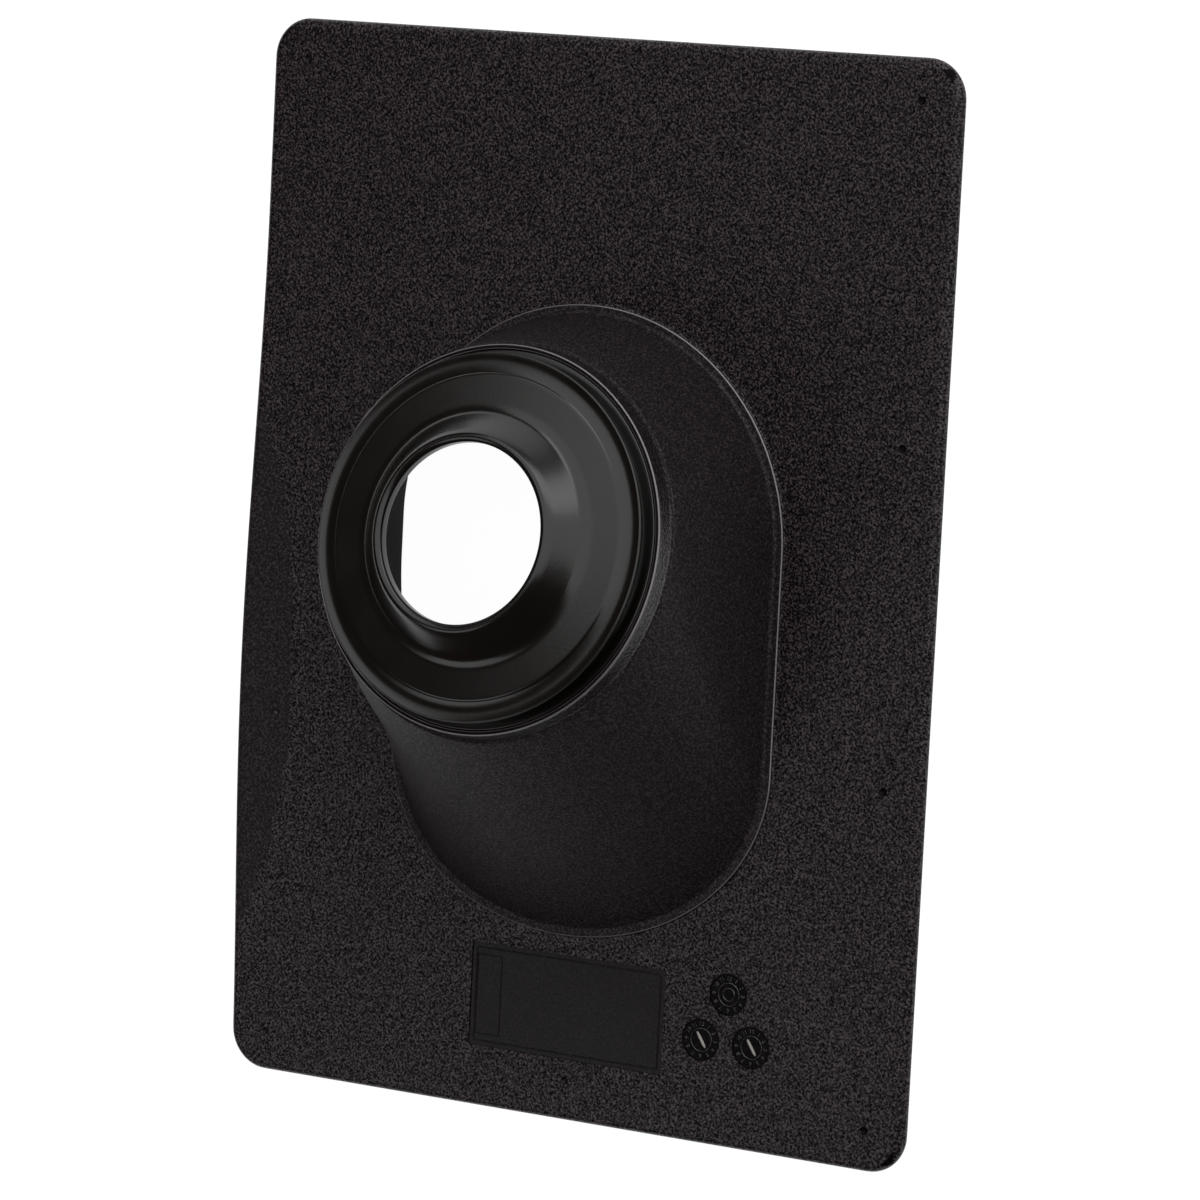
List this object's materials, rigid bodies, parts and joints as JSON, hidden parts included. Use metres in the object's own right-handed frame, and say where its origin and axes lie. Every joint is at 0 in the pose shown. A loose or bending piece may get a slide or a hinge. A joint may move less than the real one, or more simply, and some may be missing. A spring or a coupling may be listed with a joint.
{
  "type": "pipe flashing boot",
  "caption": "Roof flashing for a vent pipe: a flat rectangular plastic sheet with a leaning hollow hood, and a rubber collar with a round lip that grips the pipe.",
  "frame": {"origin": "middle of the plane that the sheet's turned-down rim stands on", "axes": "+Z out of the roof, +Y up the slope, +X across; the collar leans 11.1 degrees from +Z towards +Y"},
  "size_m": [0.235, 0.324, 0.0791],
  "materials": {
    "base": "fine grained black polypropylene, satin",
    "collar": "smooth black moulded rubber, semi gloss"
  },
  "bodies": {
    "root": {"base_flashing": "base", "pipe_collar": "collar"}
  },
  "joints": []
}
